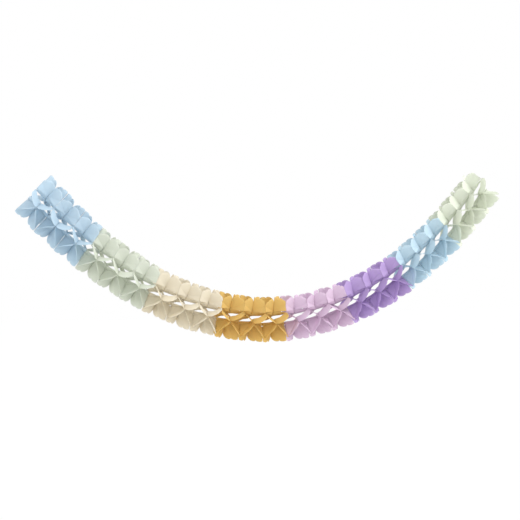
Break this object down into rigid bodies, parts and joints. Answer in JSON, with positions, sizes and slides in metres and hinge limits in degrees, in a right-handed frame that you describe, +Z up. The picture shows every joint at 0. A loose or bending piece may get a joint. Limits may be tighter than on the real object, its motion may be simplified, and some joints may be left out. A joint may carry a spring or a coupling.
{
  "type": "paper garland",
  "caption": "Hanging garland of die-cut paper sheets glued leaf to leaf and opened into cells, in bands of soft pastel colours, curving down between its two ends.",
  "frame": {"origin": "middle of the open ring at the garland's left end, where it is hung", "axes": "+X along the span to the right end, +Z up, the front faces -Y"},
  "size_m": [1.075, 0.0928, 0.3782],
  "materials": {
    "blue": "matte thin dyed paper",
    "sage": "matte thin dyed paper",
    "cream": "matte thin dyed paper",
    "mustard": "matte thin dyed paper",
    "pink": "matte thin dyed paper",
    "violet": "matte thin dyed paper",
    "sky": "matte thin dyed paper",
    "mint": "matte thin dyed paper"
  },
  "bodies": {
    "root": {"blue_sheet_1": "blue", "blue_sheet_2": "blue", "blue_sheet_3": "blue", "blue_sheet_4": "blue", "blue_sheet_5": "blue", "blue_sheet_6": "blue", "sage_sheet_1": "sage", "sage_sheet_2": "sage", "sage_sheet_3": "sage", "sage_sheet_4": "sage", "sage_sheet_5": "sage", "sage_sheet_6": "sage", "cream_sheet_1": "cream", "cream_sheet_2": "cream", "cream_sheet_3": "cream", "cream_sheet_4": "cream", "cream_sheet_5": "cream", "cream_sheet_6": "cream", "mustard_sheet_1": "mustard", "mustard_sheet_2": "mustard", "mustard_sheet_3": "mustard", "mustard_sheet_4": "mustard", "mustard_sheet_5": "mustard", "mustard_sheet_6": "mustard", "pink_sheet_1": "pink", "pink_sheet_2": "pink", "pink_sheet_3": "pink", "pink_sheet_4": "pink", "pink_sheet_5": "pink", "pink_sheet_6": "pink", "violet_sheet_1": "violet", "violet_sheet_2": "violet", "violet_sheet_3": "violet", "violet_sheet_4": "violet", "violet_sheet_5": "violet", "violet_sheet_6": "violet", "sky_sheet_1": "sky", "sky_sheet_2": "sky", "sky_sheet_3": "sky", "sky_sheet_4": "sky", "sky_sheet_5": "sky", "sky_sheet_6": "sky", "mint_sheet_1": "mint", "mint_sheet_2": "mint", "mint_sheet_3": "mint", "mint_sheet_4": "mint", "mint_sheet_5": "mint", "mint_sheet_6": "mint"}
  },
  "joints": []
}
